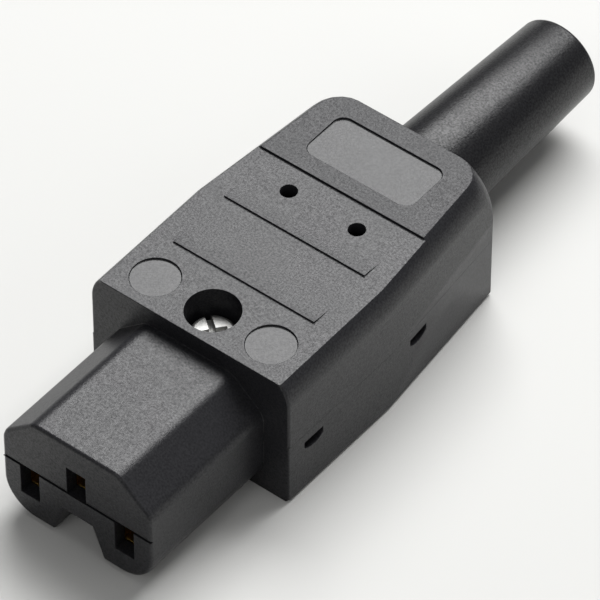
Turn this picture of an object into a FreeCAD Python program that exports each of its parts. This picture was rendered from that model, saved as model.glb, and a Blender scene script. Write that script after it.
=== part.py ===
import FreeCAD, Part
import math
import os
import re

import Sketcher

# Rewirable appliance connector of the notched C15 pattern: two half shells held by one screw,
# a soft bend sleeve at the cable end, three spring contacts with terminals and a cable clamp.
# X is the width, Y runs from the nose to the cable end and Z is up. The underside is at zero.
# All sizes are millimetres. Stations are measured along Y from the front face of the body.
SIZES = {
    # Nose that goes into the appliance inlet
    "nose_length": 20.3,
    "nose_width": 21.9,
    "nose_height": 16.0,
    "nose_lift": 0.5,
    "nose_chamfer_width": 4.7,
    "nose_chamfer_height": 4.1,
    "nose_edge_radius": 2.4,
    "nose_corner_radius": 4.6,
    "nose_split_height": 8.2,
    "face_wall": 1.8,
    "slot_width": 2.8,
    "slot_height": 4.4,
    "slot_spacing": 14.0,
    "notch_depth": 4.7,
    "notch_top_width": 4.0,
    "notch_mouth_width": 7.4,
    "notch_length": 17.0,
    # Body of the two shells
    "body_length": 41.1,
    "body_width": 29.3,
    "body_height": 19.0,
    "body_split_height": 9.3,
    "top_rise": 0.7,
    "taper_station": 18.8,
    "rear_width": 25.0,
    "shoulder_inset": 1.35,
    "shoulder_drop": 3.2,
    "top_corner_radius": 3.2,
    "top_corner_drop": 4.0,
    "base_bevel": 0.4,
    "side_wall": 1.8,
    "floor_wall": 2.0,
    "rear_wall": 2.0,
    # Features of the top
    "panel_station": 28.1,
    "panel_raise": 0.3,
    "field_width": 15.8,
    "field_length": 7.5,
    "field_margin": 3.0,
    "field_depth": 0.2,
    "field_corner_radius": 1.5,
    "disc_diameter": 6.1,
    "disc_spacing": 17.1,
    "disc_depth": 0.2,
    "rib_width": 20.8,
    "rib_length": 3.0,
    "rib_raise": 0.25,
    "first_rib_station": 9.9,
    "second_rib_station": 19.2,
    "pin_hole_diameter": 2.1,
    "pin_hole_spacing": 10.1,
    "pin_hole_station": 24.6,
    # Windows in the side walls
    "window_length": 3.4,
    "window_height": 0.95,
    "window_drop": 1.4,
    "first_window_station": 4.6,
    "second_window_station": 24.9,
    "tongue_thickness": 1.0,
    "tongue_root_height": 2.0,
    "tongue_overhang": 0.6,
    "tongue_clearance": 0.3,
    "hook_setback": 1.5,
    # Screw and nut that hold the shells together
    "screw_station": 4.4,
    "well_diameter": 6.7,
    "well_depth": 5.8,
    "boss_wall": 1.3,
    "boss_corner_radius": 3.7,
    "screw_diameter": 3.0,
    "screw_head_diameter": 5.6,
    "screw_head_height": 2.4,
    "screw_head_radius": 0.6,
    "screw_tip_height": 0.6,
    "screw_clearance": 0.2,
    "drive_angle": -37.0,
    "drive_width": 0.75,
    "drive_depth": 1.0,
    "drive_cross_length": 3.4,
    "pillar_diameter": 6.4,
    "spigot_diameter": 5.4,
    "nut_width": 5.5,
    "nut_height": 2.4,
    "nut_recess": 0.2,
    # Contacts and terminals
    "strip_thickness": 0.5,
    "contact_width": 4.4,
    "contact_height": 4.7,
    "contact_length": 15.0,
    "leaf_root_height": 1.9,
    "leaf_pinch_height": 3.3,
    "leaf_pinch": 0.75,
    "leaf_flare": 0.45,
    "channel_clearance": 0.2,
    "terminal_width": 5.6,
    "terminal_length": 8.0,
    "terminal_height": 5.8,
    "terminal_gap": 0.6,
    "wire_bore_diameter": 3.2,
    "terminal_screw_diameter": 2.8,
    "terminal_head_diameter": 4.2,
    "terminal_head_height": 1.4,
    "screw_slot_width": 0.8,
    "screw_slot_depth": 0.65,
    # Cable clamp and bend sleeve
    "clamp_station": 28.0,
    "clamp_length": 4.6,
    "clamp_screw_spacing": 14.4,
    "clamp_ear_height": 2.2,
    "clamp_ear_margin": 2.2,
    "clamp_arch_wall": 1.2,
    "clamp_arch_flat": 6.0,
    "clamp_screw_diameter": 2.5,
    "clamp_head_diameter": 4.0,
    "clamp_head_height": 1.3,
    "clamp_screw_reach": 5.0,
    "cable_bore_diameter": 7.6,
    "sleeve_length": 29.8,
    "sleeve_root_diameter": 13.4,
    "sleeve_tip_diameter": 11.35,
    "sleeve_tip_chamfer": 0.45,
    "neck_diameter": 10.6,
    "collar_diameter": 13.2,
    "collar_thickness": 2.0,
    "fit_clearance": 0.1,
}

# Places worked out from the sizes
PLACES = {
    "nose_front": "-(nose_length + body_length + sleeve_length) / 2",
    "body_front": "nose_front + nose_length",
    "body_rear": "body_front + body_length",
    "sleeve_tip": "body_rear + sleeve_length",
    "nose_top": "nose_lift + nose_height",
    "shoulder_radius": "(shoulder_inset ^ 2 + shoulder_drop ^ 2) / (2 * shoulder_inset)",
    "panel_inset": "shoulder_radius - sqrt(shoulder_radius ^ 2 - (shoulder_drop + panel_raise) ^ 2)",
    "screw_y": "body_front + screw_station",
    "seat_height": "body_height + top_rise * screw_station / body_length - well_depth",
    "screw_hole_diameter": "screw_diameter + 2 * screw_clearance",
    "boss_half_width": "well_diameter / 2 + boss_wall",
    "line_base": "nose_split_height - contact_height - channel_clearance",
    "earth_base": "nose_split_height - strip_thickness - fit_clearance",
    "earth_top": "earth_base + contact_height + channel_clearance",
    "channel_width": "contact_width + 2 * channel_clearance",
    "contact_front": "nose_front + face_wall + channel_clearance",
    "terminal_front": "screw_y + boss_half_width + terminal_gap",
    "terminal_rear": "terminal_front + terminal_length",
    "clamp_y": "body_front + clamp_station",
    "clamp_half_width": "clamp_screw_spacing / 2 + clamp_ear_margin",
    "clamp_hole_diameter": "clamp_screw_diameter + 2 * fit_clearance",
    "collar_rear": "body_rear - rear_wall - fit_clearance",
}

doc = FreeCAD.newDocument("appliance_connector")
sheet = doc.addObject("Spreadsheet::Sheet", "sizes")
for row, (alias, size) in enumerate(SIZES.items(), start=1):
    sheet.set(f"A{row}", alias)
    sheet.set(f"B{row}", str(size))
    sheet.setAlias(f"B{row}", alias)
doc.recompute()


def full(formula):
    """Write a formula of size and place names as an expression on the sheet's cells."""

    def spelled(match):
        word = match.group()
        if word in PLACES:
            return f"({full(PLACES[word])})"
        return f"sizes.{word}" if word in SIZES else word

    return re.sub(r"[a-z_]+", spelled, formula)


def value(formula):
    """Number that a formula gives with the sheet's present sizes."""
    return float(sheet.evalExpression(full(formula)))


def bind(item, prop, formula):
    """Tie a property of a document object to a formula."""
    item.setExpression(prop, full(formula))


# Sketches


def new_sketch(body, name, plane, offset):
    """Empty sketch on a plane of the body: XY at a height, XZ at a station, YZ at a width."""
    sketch = body.newObject("Sketcher::SketchObject", f"{body.Name}_{name}")
    support = next(item for item in body.Origin.OriginFeatures if item.Role == f"{plane}_Plane")
    sketch.AttachmentSupport = [(support, "")]
    sketch.MapMode = "FlatFace"
    bind(sketch, "AttachmentOffset.Base.z", f"-({offset})" if plane == "XZ" else offset)
    return sketch


def measure(sketch, kind, geometry, point, formula):
    """Hold one coordinate of a sketch point, or one size of a curve, to a formula."""
    if kind in ("Radius", "Diameter"):
        constraint = Sketcher.Constraint(kind, geometry, value(formula))
    else:
        constraint = Sketcher.Constraint(kind, -1, 1, geometry, point, value(formula))
    bind(sketch, f"Constraints[{sketch.addConstraint(constraint)}]", formula)


def corner_arc(before, corner, after, radius):
    """Arc that rounds a square corner, turning from the line before to the line after."""
    to_start = (before - corner).normalize() * radius
    to_end = (after - corner).normalize() * radius
    middle = corner + (to_start + to_end) * (1 - math.sqrt(0.5))
    return Part.Arc(corner + to_start, middle, corner + to_end)


def bowed_edge(points, edge, radius, outward):
    """Arc in place of one edge of an outline, bent out of the outline or into it."""
    start, end = points[edge], points[edge + 1]
    area = sum(points[i - 1].x * points[i].y - points[i].x * points[i - 1].y for i in range(len(points)))
    inward = FreeCAD.Vector(start.y - end.y, end.x - start.x, 0).normalize() * math.copysign(1, area)
    sag = radius - math.sqrt(radius ** 2 - (end - start).Length ** 2 / 4)
    return Part.Arc(start, (start + end) / 2 + inward * (-sag if outward else sag), end)


def outline(body, name, plane, offset, corners, bows=None, outward=False):
    """Closed outline through corners, each two formulas, and a third that rounds a square corner.

    Bows give the radius of the arc that takes the place of an edge, by the number of its first corner.
    """
    sketch = new_sketch(body, name, plane, offset)
    count = len(corners)
    points = [FreeCAD.Vector(value(corner[0]), value(corner[1]), 0) for corner in corners]
    radii = [corner[2] if len(corner) > 2 else None for corner in corners]
    arcs = [
        corner_arc(points[i - 1], points[i], points[(i + 1) % count], value(radii[i])) if radii[i] else None
        for i in range(count)
    ]
    level = [corners[i][1] == corners[(i + 1) % count][1] for i in range(count)]
    upright = [corners[i][0] == corners[(i + 1) % count][0] for i in range(count)]
    for i in range(count):
        after = (i + 1) % count
        start = arcs[i].EndPoint if arcs[i] else points[i]
        end = arcs[after].StartPoint if arcs[after] else points[after]
        if bows and i in bows:
            sketch.addGeometry(bowed_edge(points, i, value(bows[i]), outward))
            measure(sketch, "Radius", i, 0, bows[i])
            continue
        line = sketch.addGeometry(Part.LineSegment(start, end))
        if level[i]:
            sketch.addConstraint(Sketcher.Constraint("Horizontal", line))
            measure(sketch, "DistanceY", line, 1, corners[i][1])
        if upright[i]:
            sketch.addConstraint(Sketcher.Constraint("Vertical", line))
            measure(sketch, "DistanceX", line, 1, corners[i][0])
    for i in range(count):
        if arcs[i]:
            join_rounded(sketch, (i - 1) % count, i, arcs[i], radii[i])
            continue
        first = end_at(sketch, (i - 1) % count, points[i])
        second = end_at(sketch, i, points[i])
        sketch.addConstraint(Sketcher.Constraint("Coincident", (i - 1) % count, first, i, second))
        if not (upright[i - 1] or upright[i]):
            measure(sketch, "DistanceX", i, second, corners[i][0])
        if not (level[i - 1] or level[i]):
            measure(sketch, "DistanceY", i, second, corners[i][1])
    return sketch


def end_at(sketch, geometry, point):
    """Which end of a curve of a sketch lies at a point: 1 is its start and 2 its end."""
    return min((1, 2), key=lambda end: (sketch.getPoint(geometry, end) - point).Length)


def join_rounded(sketch, before, after, arc, radius):
    """Join two lines of a sketch by an arc that is tangent to both."""
    curve = sketch.addGeometry(arc)
    start = end_at(sketch, curve, arc.StartPoint)
    sketch.addConstraint(Sketcher.Constraint("Tangent", before, 2, curve, start))
    sketch.addConstraint(Sketcher.Constraint("Tangent", curve, 3 - start, after, 1))
    measure(sketch, "Radius", curve, 0, radius)


def circles(body, name, plane, offset, centres, diameter):
    """Sketch of equal circles at centres given as formulas."""
    sketch = new_sketch(body, name, plane, offset)
    for across, along in centres:
        centre = FreeCAD.Vector(value(across), value(along), 0)
        curve = sketch.addGeometry(Part.Circle(centre, FreeCAD.Vector(0, 0, 1), value(diameter) / 2))
        measure(sketch, "DistanceX", curve, 3, across)
        measure(sketch, "DistanceY", curve, 3, along)
        measure(sketch, "Diameter", curve, 0, diameter)
    return sketch


def rectangle(left, right, low, high, radius=None):
    """Corners of a rectangle, rounded where a radius is given."""
    ends = ((left, low), (right, low), (right, high), (left, high))
    return [end + (radius,) for end in ends] if radius else list(ends)


# Features


def new_body(label):
    """Body of one sub-part, named for its file."""
    body = doc.addObject("PartDesign::Body", label)
    body.Label = label
    return body


def extrude(body, kind, sketch, length, reverse=False, both=False):
    """Pad or pocket of a sketch."""
    feature = body.newObject(f"PartDesign::{kind}", f"{sketch.Name}_{kind.lower()}")
    feature.Profile = sketch
    feature.SideType = "Symmetric" if both else "One side"
    feature.Reversed = reverse
    bind(feature, "Length", length)
    return feature


def loft(body, kind, name, sections):
    """Straight-sided loft through sections, added to or cut from the body."""
    feature = body.newObject(f"PartDesign::{kind}Loft", f"{body.Name}_{name}")
    feature.Profile = sections[0]
    feature.Sections = sections[1:]
    feature.Ruled = True
    return feature


def round_edges(body, name, radius, wanted):
    """Fillet on the edges of the body's present shape that pass the test."""
    doc.recompute()
    base = body.Tip
    edges = [f"Edge{i}" for i, edge in enumerate(base.Shape.Edges, start=1) if wanted(edge)]
    feature = body.newObject("PartDesign::Fillet", f"{body.Name}_{name}")
    feature.Base = (base, edges)
    bind(feature, "Radius", radius)
    return feature


def between(edge, low, high):
    """True where both ends of an edge lie in a box, to a hundredth."""
    slack = 0.01
    box = FreeCAD.BoundBox(*[x - slack for x in low], *[x + slack for x in high])
    return all(box.isInside(vertex.Point) for vertex in edge.Vertexes)


# Form of the body, shared by both shells


def half_width(station):
    """Half of the body's width at a station behind the start of the taper."""
    narrowing = "(body_width - rear_width) / 2 / (body_length - taper_station)"
    return f"(body_width / 2 - {narrowing} * ({station} - taper_station))"


def top_height(station):
    """Height of the body's top at a station, without the raised panel."""
    return f"(body_height + top_rise * ({station}) / body_length)"


WINDOWS = (
    ("first_window", "body_width / 2"),
    ("second_window", half_width("second_window_station")),
)
BODY_STATIONS = (
    ("front", "0", "body_width / 2"),
    ("taper", "taper_station", "body_width / 2"),
    ("panel", "panel_station", half_width("panel_station")),
    ("rear", "body_length", half_width("body_length")),
)
REAR_TURNS = 5
CAVITY_STATIONS = (
    ("cavity_front", "side_wall", "body_width / 2"),
    ("cavity_taper", "taper_station", "body_width / 2"),
    ("cavity_rear", "body_length - rear_wall", half_width("(body_length - rear_wall)")),
)


def upper_section(body, name, station, half, top, inset, drop, wall=None):
    """Section of the upper shell's outside with its round shoulders, or of its cavity behind a wall."""
    side = f"{half} - {wall or 0}"
    edge = f"{half} - {inset} - {wall or 0}"
    shoulder = f"{top} - {drop}"
    corners = [
        (f"-({side})", "body_split_height"),
        (side, "body_split_height"),
        (side, shoulder),
        (edge, f"{top} - {wall or 0}"),
        (f"-({edge})", f"{top} - {wall or 0}"),
        (f"-({side})", shoulder),
    ]
    tangent = f"({inset} ^ 2 + {drop} ^ 2) / (2 * {inset})"
    bows = None if wall else {2: tangent, 4: tangent}
    return outline(body, name, "XZ", f"body_front + {station}", corners, bows, outward=True)


def raised_section(body, name, station, turn):
    """Section of the raised panel, where the outline of the top has turned by an angle at the rear."""
    drawn_in = f"{1 - math.cos(turn):.6f}"
    top = f"({top_height(station)} + panel_raise)"
    inset = f"(panel_inset + top_corner_radius * {drawn_in})"
    drop = f"(shoulder_drop + panel_raise + top_corner_drop * {drawn_in})"
    return upper_section(body, name, station, half_width(station), top, inset, drop)


def lower_section(body, name, station, half, wall, base):
    """Section of the lower shell's outside, or of its cavity behind a wall and above a floor."""
    side = f"{half} - {wall}"
    foot = f"{half} - {wall} - base_bevel"
    corners = [
        (f"-({foot})", base),
        (foot, base),
        (side, f"{base} + base_bevel"),
        (side, "body_split_height"),
        (f"-({side})", "body_split_height"),
        (f"-({side})", f"{base} + base_bevel"),
    ]
    return outline(body, name, "XZ", f"body_front + {station}", corners)


def cut_rear_opening(body):
    """Round opening of the rear wall that takes the neck of the sleeve."""
    opening = circles(body, "opening", "XZ", "body_rear - 2 * rear_wall",
                      [("0", "body_split_height")], "neck_diameter + 2 * fit_clearance")
    extrude(body, "Pocket", opening, "3 * rear_wall")


# Sub-parts


def build_upper_shell():
    """Upper half: nose with the earth slot, body with the screw well, grip ribs and rear panel."""
    body = new_body("upper_shell")
    sections = [upper_section(body, name, station, half, top_height(station), "shoulder_inset", "shoulder_drop")
                for name, station, half in BODY_STATIONS[:3]]
    loft(body, "Additive", "front_form", sections[:2])
    loft(body, "Additive", "middle_form", sections[1:])
    raised = [raised_section(body, "raised_panel", "panel_station", 0)]
    for step in range(REAR_TURNS + 1):
        turn = math.pi / 2 * step / REAR_TURNS
        station = f"(body_length - top_corner_radius * {1 - math.sin(turn):.6f})"
        raised.append(raised_section(body, f"raised_turn_{step}", station, turn))
    loft(body, "Additive", "rear_form", raised)

    nose = outline(body, "nose", "XZ", "body_front", [
        ("-nose_width / 2", "nose_split_height"),
        ("nose_width / 2", "nose_split_height"),
        ("nose_width / 2", "nose_top - nose_chamfer_height"),
        ("nose_width / 2 - nose_chamfer_width", "nose_top"),
        ("-(nose_width / 2 - nose_chamfer_width)", "nose_top"),
        ("-nose_width / 2", "nose_top - nose_chamfer_height"),
    ])
    extrude(body, "Pad", nose, "nose_length")
    round_edges(body, "nose_edges", "nose_edge_radius", lambda edge: between(
        edge, (-value("nose_width"), value("nose_front"), value("nose_top - nose_chamfer_height")),
        (value("nose_width"), value("body_front"), value("nose_top")),
    ) and math.isclose(edge.Length, value("nose_length"), abs_tol=0.01))

    cavity = [upper_section(body, name, station, half, top_height(station), "shoulder_inset", "shoulder_drop",
                            "side_wall") for name, station, half in CAVITY_STATIONS]
    loft(body, "Subtractive", "front_cavity", cavity[:2])
    loft(body, "Subtractive", "rear_cavity", cavity[1:])
    cut_rear_opening(body)
    cut_earth_channel(body)
    add_screw_boss(body)
    add_tongues(body)
    dress_top(body)
    return body


def cut_earth_channel(body):
    """Channel of the earth contact along the upper nose, with its slot in the face."""
    channel = outline(body, "channel", "XZ", "nose_front + face_wall", rectangle(
        "-channel_width / 2", "channel_width / 2", "nose_split_height", "earth_top"))
    extrude(body, "Pocket", channel, "nose_length - face_wall + side_wall + fit_clearance")
    slot = outline(body, "slot", "XZ", "nose_front - face_wall", rectangle(
        "-slot_width / 2", "slot_width / 2", "nose_split_height", "nose_split_height + slot_height"))
    extrude(body, "Pocket", slot, "2 * face_wall + channel_clearance")


def add_screw_boss(body):
    """Boss under the top that holds the screw well, with a spigot down to the earth strip."""
    rear = "screw_y + boss_half_width"
    boss = outline(body, "boss", "XY", "body_split_height", [
        ("-boss_half_width", "body_front + side_wall / 2"),
        ("boss_half_width", "body_front + side_wall / 2"),
        ("boss_half_width", rear, "boss_corner_radius"),
        ("-boss_half_width", rear, "boss_corner_radius"),
    ])
    extrude(body, "Pad", boss, "body_height - side_wall / 2 - body_split_height")
    strip_top = "earth_base + strip_thickness"
    spigot = circles(body, "spigot", "XY", strip_top, [("0", "screw_y")], "spigot_diameter")
    extrude(body, "Pad", spigot, f"seat_height - ({strip_top})")
    above = "body_height + 2 * top_rise"
    well = circles(body, "well", "XY", above, [("0", "screw_y")], "well_diameter")
    extrude(body, "Pocket", well, f"{above} - seat_height")
    hole = circles(body, "hole", "XY", above, [("0", "screw_y")], "screw_hole_diameter")
    extrude(body, "Pocket", hole, above)


def add_tongues(body):
    """Spring tongues inside the side walls, each with a hook in a window of the lower shell."""
    high = "body_split_height - window_drop"
    low = f"{high} - window_height"
    root = "body_split_height + tongue_root_height"
    for name, half in WINDOWS:
        face = f"{half} - side_wall - tongue_clearance"
        back = f"{face} - tongue_thickness"
        embedded = f"{half} - side_wall / 2"
        hook = f"{half} - hook_setback"
        profile = [
            (back, root),
            (embedded, root),
            (embedded, "body_split_height"),
            (face, "body_split_height"),
            (face, f"{high} - fit_clearance"),
            (hook, f"{high} - fit_clearance"),
            (hook, f"{low} + fit_clearance"),
            (face, f"{low} + fit_clearance"),
            (face, f"{low} - tongue_overhang"),
            (back, f"{low} - tongue_overhang"),
        ]
        for side, sign in (("left", "-"), ("right", "")):
            tongue = outline(body, f"{name}_{side}", "XZ", f"body_front + {name}_station",
                             [(f"{sign}({x})", z) for x, z in profile])
            extrude(body, "Pad", tongue, "window_length - 2 * tongue_clearance", both=True)


def dress_top(body):
    """Smooth discs, wedge grip ribs, small holes and the bare field on the top."""
    above = "body_height + 2 * top_rise + 2 * panel_raise"
    discs = circles(body, "discs", "XY", above,
                    [("-disc_spacing / 2", "screw_y"), ("disc_spacing / 2", "screw_y")], "disc_diameter")
    extrude(body, "Pocket", discs, f"{above} - {top_height('screw_station')} + disc_depth")
    for name in ("first_rib", "second_rib"):
        start = f"{name}_station"
        end = f"{name}_station + rib_length"
        rib = outline(body, name, "YZ", "0", [
            (f"body_front + {start}", f"{top_height(start)} - side_wall / 2"),
            (f"body_front + {end}", f"{top_height(end)} - side_wall / 2"),
            (f"body_front + {end}", top_height(end)),
            (f"body_front + {start}", f"{top_height(start)} + rib_raise"),
        ])
        extrude(body, "Pad", rib, "rib_width", both=True)
    holes = circles(body, "pin_holes", "XY", above,
                    [("-pin_hole_spacing / 2", "body_front + pin_hole_station"),
                     ("pin_hole_spacing / 2", "body_front + pin_hole_station")], "pin_hole_diameter")
    extrude(body, "Pocket", holes, f"{above} - body_height + 2 * side_wall")
    field_rear = "body_rear - field_margin"
    middle = "(body_length - field_margin - field_length / 2)"
    field = outline(body, "field", "XY", above, rectangle(
        "-field_width / 2", "field_width / 2", f"{field_rear} - field_length", field_rear,
        "field_corner_radius"))
    extrude(body, "Pocket", field, f"{above} - {top_height(middle)} - panel_raise + field_depth")


def build_lower_shell():
    """Lower half: nose with the line and neutral slots and the notch, floor with the seats."""
    body = new_body("lower_shell")
    sections = [lower_section(body, name, station, half, "0", "0")
                for name, station, half in BODY_STATIONS if name != "panel"]
    loft(body, "Additive", "front_form", sections[:2])
    loft(body, "Additive", "rear_form", sections[1:])

    nose = outline(body, "nose", "XZ", "body_front", [
        ("-nose_width / 2", "nose_lift", "nose_corner_radius"),
        ("nose_width / 2", "nose_lift", "nose_corner_radius"),
        ("nose_width / 2", "nose_split_height"),
        ("-nose_width / 2", "nose_split_height"),
    ])
    extrude(body, "Pad", nose, "nose_length")
    notch = outline(body, "notch", "XZ", "nose_front", [
        ("-notch_mouth_width / 2", "nose_lift"),
        ("notch_mouth_width / 2", "nose_lift"),
        ("notch_top_width / 2", "nose_lift + notch_depth"),
        ("-notch_top_width / 2", "nose_lift + notch_depth"),
    ])
    extrude(body, "Pocket", notch, "notch_length")

    cavity = [lower_section(body, name, station, half, "side_wall", "floor_wall")
              for name, station, half in CAVITY_STATIONS]
    loft(body, "Subtractive", "front_cavity", cavity[:2])
    loft(body, "Subtractive", "rear_cavity", cavity[1:])
    cut_rear_opening(body)
    add_terminal_seats(body)
    cut_line_channels(body)
    add_clamp_saddle(body)
    cut_windows(body)
    return body


def add_terminal_seats(body):
    """Ledge under the line and neutral terminals, pillar of the screw and pedestal of the earth."""
    inner = "body_width / 2 - side_wall / 2"
    ledge = outline(body, "ledge", "XY", "floor_wall / 2", rectangle(
        f"-({inner})", inner, "body_front + side_wall / 2", "terminal_rear"))
    extrude(body, "Pad", ledge, "line_base - floor_wall / 2")
    pillar = circles(body, "pillar", "XY", "floor_wall / 2", [("0", "screw_y")], "pillar_diameter")
    extrude(body, "Pad", pillar, "earth_base - floor_wall / 2")
    pedestal = outline(body, "pedestal", "XY", "floor_wall / 2", rectangle(
        "-contact_width / 2", "contact_width / 2", "terminal_front", "terminal_rear"))
    extrude(body, "Pad", pedestal, "earth_base - floor_wall / 2")
    hole = circles(body, "hole", "XY", "nose_split_height", [("0", "screw_y")], "screw_hole_diameter")
    extrude(body, "Pocket", hole, "2 * nose_split_height")
    span = "(nut_width + 2 * fit_clearance)"
    tip = f"{span} / sqrt(3)"
    pocket = outline(body, "nut_pocket", "XY", "0", [
        (tip, "screw_y"),
        (f"{tip} / 2", f"screw_y + {span} / 2"),
        (f"-{tip} / 2", f"screw_y + {span} / 2"),
        (f"-{tip}", "screw_y"),
        (f"-{tip} / 2", f"screw_y - {span} / 2"),
        (f"{tip} / 2", f"screw_y - {span} / 2"),
    ])
    extrude(body, "Pocket", pocket, "nut_recess + nut_height", reverse=True)


def cut_line_channels(body):
    """Channels of the line and neutral contacts, their slots, and the groove of the earth strip."""
    reach = "nose_length - face_wall + side_wall + fit_clearance"
    for name, side in (("line", "-"), ("neutral", "")):
        centre = f"{side}slot_spacing / 2"
        channel = outline(body, f"{name}_channel", "XZ", "nose_front + face_wall", rectangle(
            f"{centre} - channel_width / 2", f"{centre} + channel_width / 2",
            "line_base", "body_split_height"))
        extrude(body, "Pocket", channel, reach)
        slot = outline(body, f"{name}_slot", "XZ", "nose_front - face_wall", rectangle(
            f"{centre} - slot_width / 2", f"{centre} + slot_width / 2",
            "nose_split_height - slot_height", "nose_split_height"))
        extrude(body, "Pocket", slot, "2 * face_wall + channel_clearance")
    groove = outline(body, "earth_groove", "XZ", "nose_front + face_wall", rectangle(
        "-channel_width / 2", "channel_width / 2", "earth_base", "body_split_height"))
    extrude(body, "Pocket", groove, reach)


def add_clamp_saddle(body):
    """Saddle across the floor that the cable lies in, with holes for the clamp screws."""
    saddle = outline(body, "saddle", "XY", "floor_wall / 2", rectangle(
        "-clamp_half_width", "clamp_half_width",
        "clamp_y - clamp_length / 2", "clamp_y + clamp_length / 2"))
    extrude(body, "Pad", saddle, "body_split_height - floor_wall / 2")
    trough = circles(body, "trough", "XZ", "clamp_y", [("0", "body_split_height")], "cable_bore_diameter")
    extrude(body, "Pocket", trough, "2 * clamp_length", both=True)
    holes = circles(body, "clamp_holes", "XY", "body_split_height",
                    [("-clamp_screw_spacing / 2", "clamp_y"), ("clamp_screw_spacing / 2", "clamp_y")],
                    "clamp_hole_diameter")
    extrude(body, "Pocket", holes, "clamp_screw_reach + fit_clearance")


def cut_windows(body):
    """Short windows through the side walls, just below the joint of the shells."""
    high = "body_split_height - window_drop"
    depth = "2 * side_wall"
    for name, half in WINDOWS:
        middle = f"body_front + {name}_station"
        corners = rectangle(f"{middle} - window_length / 2", f"{middle} + window_length / 2",
                            f"{high} - window_height", high)
        left = outline(body, f"{name}_left", "YZ", f"-({half}) - side_wall / 2", corners)
        extrude(body, "Pocket", left, depth, reverse=True)
        right = outline(body, f"{name}_right", "YZ", f"{half} + side_wall / 2", corners)
        extrude(body, "Pocket", right, depth)


def build_bend_sleeve():
    """Soft tapered sleeve, held by a collar and a neck in the rear wall of the shells."""
    body = new_body("bend_sleeve")
    bore = "cable_bore_diameter / 2"
    neck = "neck_diameter / 2"
    collar = "collar_diameter / 2"
    collar_front = "collar_rear - collar_thickness"
    profile = outline(body, "profile", "XY", "body_split_height", [
        (bore, collar_front),
        (collar, collar_front),
        (collar, "collar_rear"),
        (neck, "collar_rear"),
        (neck, "body_rear"),
        ("sleeve_root_diameter / 2", "body_rear"),
        ("sleeve_tip_diameter / 2", "sleeve_tip - sleeve_tip_chamfer"),
        ("sleeve_tip_diameter / 2 - sleeve_tip_chamfer", "sleeve_tip"),
        (bore, "sleeve_tip"),
    ])
    turned = body.newObject("PartDesign::Revolution", "bend_sleeve_turned")
    turned.Profile = profile
    turned.ReferenceAxis = (profile, ["V_Axis"])
    return body


def build_cover_screw():
    """Pan head screw with a combined slot and cross drive, turned as it was tightened."""
    body = new_body("cover_screw")
    body.Placement = FreeCAD.Placement(FreeCAD.Vector(), FreeCAD.Rotation(FreeCAD.Vector(0, 0, 1), 1))
    bind(body, "Placement.Rotation.Angle", "drive_angle * 1 deg")
    bind(body, "Placement.Base.y", "screw_y")
    axis = [("0", "0")]
    head_top = "seat_height + screw_head_height"
    head = circles(body, "head", "XY", "seat_height", axis, "screw_head_diameter")
    extrude(body, "Pad", head, "screw_head_height")
    round_edges(body, "head_edge", "screw_head_radius", lambda edge: (
        math.isclose(edge.CenterOfMass.z, value(head_top), abs_tol=0.01) and len(edge.Vertexes) == 1))
    shank = circles(body, "shank", "XY", "screw_tip_height", axis, "screw_diameter")
    extrude(body, "Pad", shank, "seat_height - screw_tip_height")
    slot = outline(body, "drive_slot", "XY", head_top, rectangle(
        "-screw_head_diameter", "screw_head_diameter", "-drive_width / 2", "drive_width / 2"))
    extrude(body, "Pocket", slot, "drive_depth")
    cross = outline(body, "drive_cross", "XY", head_top, rectangle(
        "-drive_width / 2", "drive_width / 2", "-drive_cross_length / 2", "drive_cross_length / 2"))
    extrude(body, "Pocket", cross, "drive_depth")
    return body


def build_cover_nut():
    """Hexagon nut in the pocket of the underside."""
    hexagon = doc.addObject("Part::Prism", "nut_hexagon")
    hexagon.Polygon = 6
    bind(hexagon, "Circumradius", "nut_width / sqrt(3)")
    bind(hexagon, "Height", "nut_height")
    hole = doc.addObject("Part::Cylinder", "nut_hole")
    bind(hole, "Radius", "screw_diameter / 2 + fit_clearance")
    bind(hole, "Height", "nut_height")
    nut = doc.addObject("Part::Cut", "cover_nut")
    nut.Base = hexagon
    nut.Tool = hole
    bind(nut, "Placement.Base.y", "screw_y")
    bind(nut, "Placement.Base.z", "nut_recess")
    return nut


def spring_contact(label, across, base):
    """Folded contact: a strip along the floor of its channel and two leaves that pinch the pin."""
    body = new_body(label)
    half = "contact_width / 2"
    bends = (
        (half, base),
        (half, f"{base} + leaf_root_height"),
        (f"{half} - leaf_pinch", f"{base} + leaf_pinch_height"),
        (f"{half} - leaf_pinch + leaf_flare", f"{base} + contact_height"),
    )
    inside = [(f"{x} - strip_thickness", z) for x, z in reversed(bends[1:])]
    right = list(bends) + inside + [(f"{half} - strip_thickness", f"{base} + strip_thickness")]
    corners = [(f"{across} + {x}", z) for x, z in right]
    corners += [(f"{across} - ({x})", z) for x, z in reversed(right)]
    leaves = outline(body, "leaves", "XZ", "contact_front", corners)
    extrude(body, "Pad", leaves, "contact_length", reverse=True)
    strip = outline(body, "strip", "XZ", "contact_front", rectangle(
        f"{across} - {half}", f"{across} + {half}", base, f"{base} + strip_thickness"))
    extrude(body, "Pad", strip, "terminal_rear - contact_front", reverse=True)
    return body


def build_contacts():
    """Line, neutral and earth contacts, the earth strip with a hole for the cover screw."""
    line = spring_contact("line_contact", "-slot_spacing / 2", "line_base")
    neutral = spring_contact("neutral_contact", "slot_spacing / 2", "line_base")
    earth = spring_contact("earth_contact", "0", "earth_base")
    hole = circles(earth, "screw_hole", "XY", "nose_split_height", [("0", "screw_y")],
                   "screw_diameter + 2 * fit_clearance")
    extrude(earth, "Pocket", hole, "2 * strip_thickness + fit_clearance")
    return [line, neutral, earth]


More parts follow.
